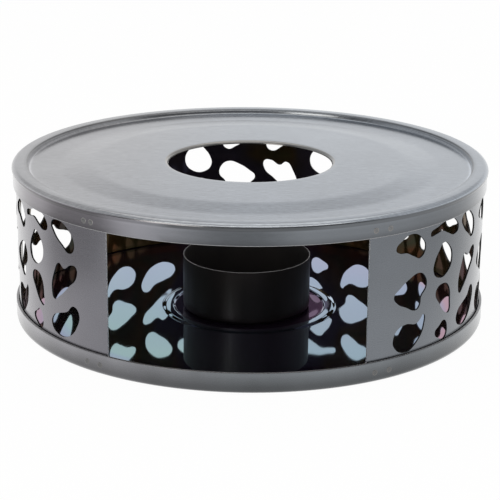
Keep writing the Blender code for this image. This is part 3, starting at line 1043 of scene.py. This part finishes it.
def build_weld_marks():
    """Small electrode marks on the skirts, each one through skirt and band."""
    deck_height = (deck_skirt_bottom + ledge_top - LEDGE_DROP) / 2
    base_height = BASE_SKIRT_HEIGHT / 2
    deck_azimuths = weld_azimuths(DECK_WELDS_RIGHT, DECK_WELDS_LEFT)
    base_azimuths = weld_azimuths(BASE_WELDS_RIGHT, BASE_WELDS_LEFT)
    # Each row's last number is its skirt's steel level near the welds, painted shade included.
    rows = (("deck_spot_weld", deck_azimuths, deck_height, deck_skirt_outer, 0.165),
            ("base_spot_weld", base_azimuths, base_height, base_skirt_outer, 0.10))
    for node, azimuths, height, outer, level in rows:
        mat = weld_mark(f"{node}_mark", level)
        half_length = (outer - wall_inner) / 2
        face = [(MARK_RADIUS * share, half_length + rise) for share, rise in MARK_PROFILE]
        back = [(radius, -along) for radius, along in face[::-1]]
        loop = (face + back)[::-1]
        for number, azimuth in enumerate(azimuths, start=1):
            piece = turned(f"{node}_mark_{number}", loop, [0] * len(loop), [mat], MARK_SIDES)
            piece.matrix_world = azimuth_matrix(azimuth, (outer + wall_inner) / 2, height)
            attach(piece, "warmer")
            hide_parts(f"{node}_{number}")


# Studio

def painted_reflection_shade(tree, place):
    """The painted reflection patches' levels on the floor, multiplied where they overlap."""
    shade = 1.0
    for x, y, inner, outer, level in FLOOR_PAINTED_REFLECTIONS:
        away = add_node(tree, "ShaderNodeVectorMath", {0: place, 1: (x, y, 0.0)},
                        operation="DISTANCE").outputs["Value"]
        painted_patch = remap(tree, away, inner, outer, level, 1.0, smooth=True)
        shade = math_node(tree, "MULTIPLY", shade, painted_patch)
    return shade


def pale_floor():
    """White cloth that glows where it is seen or mirrored, and keeps the object's shadow. Mirrored
    rays also see painted reflection patches in its glow.
    """
    mat, tree, shader = new_material("pale_floor", 0.0, roughness=1.0, specular_ior_level=0.0)
    place = object_place(tree)
    set_color(tree, shader, ramp(tree, noise(tree, place, scale=12.0), FLOOR_TONES))
    shade = painted_reflection_shade(tree, level_place(tree, axes_of(tree, place)))
    path = add_node(tree, "ShaderNodeLightPath").outputs
    # Seen directly the glow is plain white; mirrored, it carries the painted reflection patches.
    plain = mix(tree, "FLOAT", path["Is Camera Ray"], shade, 1.0)
    glow = add_node(tree, "ShaderNodeEmission", {"Color": plain, "Strength": 1.0})
    seen = math_node(tree, "MAXIMUM", path["Is Camera Ray"],
                     math_node(tree, "MAXIMUM", path["Is Glossy Ray"], path["Is Transmission Ray"]))
    share = math_node(tree, "MULTIPLY", seen, BACKDROP_SHARE)
    mixed = add_node(tree, "ShaderNodeMixShader", {
        "Fac": share, 1: shader.outputs["BSDF"], 2: glow.outputs["Emission"]})
    output = tree.nodes["Material Output"]
    tree.links.new(mixed.outputs["Shader"], output.inputs["Surface"])
    return mat


def build_floor():
    low, high = -FLOOR_HALF, FLOOR_HALF
    mesh = bpy.data.meshes.new("studio_floor")
    corners = [(x, y, FLOOR_HEIGHT) for x, y in ((low, low), (high, low), (high, high), (low, high))]
    mesh.from_pydata(corners, [], [(0, 1, 2, 3)])
    floor = new_object("studio_floor", mesh, [pale_floor()])


def build_world():
    """White walls that fade upwards, and a dim room round the camera, near the horizon."""
    world = bpy.data.worlds.new("studio")
    bpy.context.scene.world = world
    world.use_nodes = True
    tree = world.node_tree
    axes = axes_of(tree, add_node(tree, "ShaderNodeTexCoord").outputs["Generated"])
    wall = math_node(tree, "MULTIPLY",
                     remap(tree, axes["Z"], *WALL_FADE, 1.0, WALL_TOP_LEVEL, smooth=True),
                     remap(tree, axes["X"], *WALL_SIDES, WALL_LEFT_LEVEL, 1.0, smooth=True))
    front = remap(tree, axes["Y"], *ROOM_FRONT, 0.0, 1.0, smooth=True)
    low = remap(tree, axes["Z"], *ROOM_TOP, 1.0, 0.0, smooth=True)
    shade = mix(tree, "FLOAT", math_node(tree, "MULTIPLY", front, low), wall, ROOM_LEVEL)
    backdrop = tree.nodes["Background"]
    tree.links.new(shade, backdrop.inputs["Color"])
    backdrop.inputs["Strength"].default_value = 1.0


def build_lamp(name, place, width, height, power):
    light = bpy.data.lights.new(name, "AREA")
    light.color = LAMP_COLOR
    light.shape = "RECTANGLE"
    light.size = width
    light.size_y = height
    light.energy = power
    lamp = bpy.data.objects.new(name, light)
    bpy.context.scene.collection.objects.link(lamp)
    lamp.location = place
    lamp.rotation_euler = (-Vector(place)).to_track_quat("-Z", "Y").to_euler()


def build_camera():
    data = bpy.data.cameras.new("photo_camera")
    data.sensor_width = CAMERA_SENSOR
    data.lens = CAMERA_LENS
    data.shift_x = -CAMERA_SHIFT
    data.shift_y = CAMERA_SHIFT
    data.clip_start, data.clip_end = CAMERA_CLIP
    camera = bpy.data.objects.new("photo_camera", data)
    bpy.context.scene.collection.objects.link(camera)
    place = Vector((CAMERA_DISTANCE * math.sin(CAMERA_AZIMUTH),
                    -CAMERA_DISTANCE * math.cos(CAMERA_AZIMUTH), CAMERA_HEIGHT))
    turn = (Matrix.Rotation(CAMERA_YAW, 4, "Z")
            @ Matrix.Rotation(math.pi / 2 - CAMERA_PITCH, 4, "X")
            @ Matrix.Rotation(CAMERA_ROLL, 4, "Z"))
    camera.matrix_world = Matrix.Translation(place) @ turn
    bpy.context.scene.camera = camera


build_camera()
build_world()
build_floor()
for lamp in LAMPS:
    build_lamp(*lamp)
build_deck()
build_band()
build_tray()
build_cup()
build_weld_marks()

bpy.context.scene.view_settings.view_transform = "Standard"
